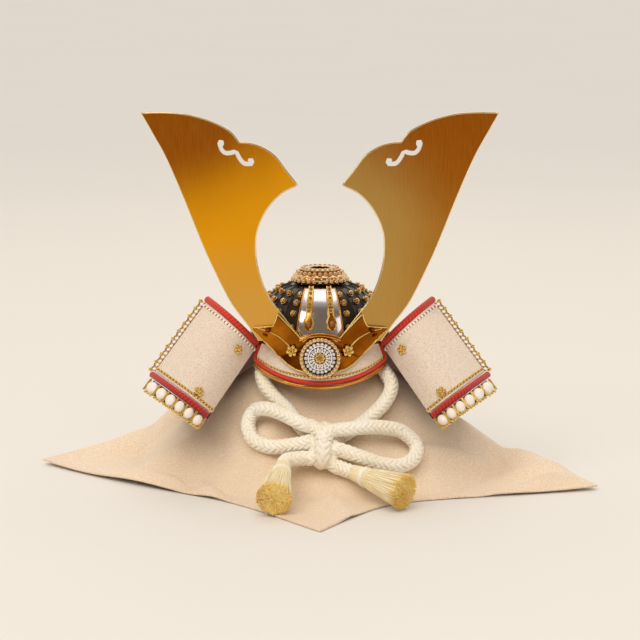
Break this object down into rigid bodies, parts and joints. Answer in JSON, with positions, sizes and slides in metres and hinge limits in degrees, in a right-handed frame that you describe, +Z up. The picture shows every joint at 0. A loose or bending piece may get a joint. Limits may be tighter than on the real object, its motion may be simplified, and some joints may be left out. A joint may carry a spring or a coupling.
{
  "type": "kabuto samurai helmet on cloth-draped stand",
  "caption": "Miniature samurai helmet with ribbed bowl, broad gold horns, round crest, turned-back wings, lame neck guard and tasselled chin cord, on a cloth-draped stand.",
  "frame": {"origin": "centre of the round foot of the stand, on its underside", "axes": "+Z up, -Y the way the helmet faces, +X towards the viewer's right when it is seen from the front"},
  "size_m": [0.3258, 0.296, 0.2137],
  "materials": {
    "gold": "polished gold-coloured plating",
    "satin_gold": "brushed satin gold plating",
    "silver": "polished silver plating",
    "black_lacquer": "glossy black lacquer",
    "white_leather": "grained off-white leather",
    "red_cord": "twisted red cord",
    "white_lacing": "woven white lacing",
    "cream_cord": "plaited cream cord",
    "tassel_silk": "glossy cream yarn",
    "linen": "plain beige crepe weave",
    "clear_stone": "clear faceted",
    "wood": "plain turned wood"
  },
  "bodies": {
    "root": {"stand_core": "wood", "display_cloth": "linen", "bowl": "black_lacquer", "waist_band": "gold", "front_plate": "silver", "front_strip_left": "gold", "front_strip_right": "gold", "crown_ring": "gold", "visor": "white_leather", "visor_piping": "red_cord", "visor_rim": "gold", "neck_lame_1": "white_lacing", "neck_lame_2": "white_lacing", "neck_lame_3": "white_lacing", "neck_lame_4": "white_lacing", "horn_socket": "gold", "horn_left": "satin_gold", "horn_right": "satin_gold", "knob_left": "gold", "knob_right": "gold", "crest_setting": "gold", "crest_stones": "clear_stone", "crest_boss": "gold", "wing_left": "white_leather", "wing_lacing_left": "white_lacing", "wing_trim_left": "gold", "wing_top_piping_left": "red_cord", "wing_top_stud_left": "gold", "wing_hem_piping_left": "red_cord", "wing_hem_stud_left": "gold", "bow_loop_left": "cream_cord", "cord_tail_left": "cream_cord", "tassel_left": "tassel_silk", "wing_right": "white_leather", "wing_lacing_right": "white_lacing", "wing_trim_right": "gold", "wing_top_piping_right": "red_cord", "wing_top_stud_right": "gold", "wing_hem_piping_right": "red_cord", "wing_hem_stud_right": "gold", "bow_loop_right": "cream_cord", "cord_tail_right": "cream_cord", "tassel_right": "tassel_silk", "chin_cord": "cream_cord", "bow_knot": "cream_cord"}
  },
  "joints": []
}
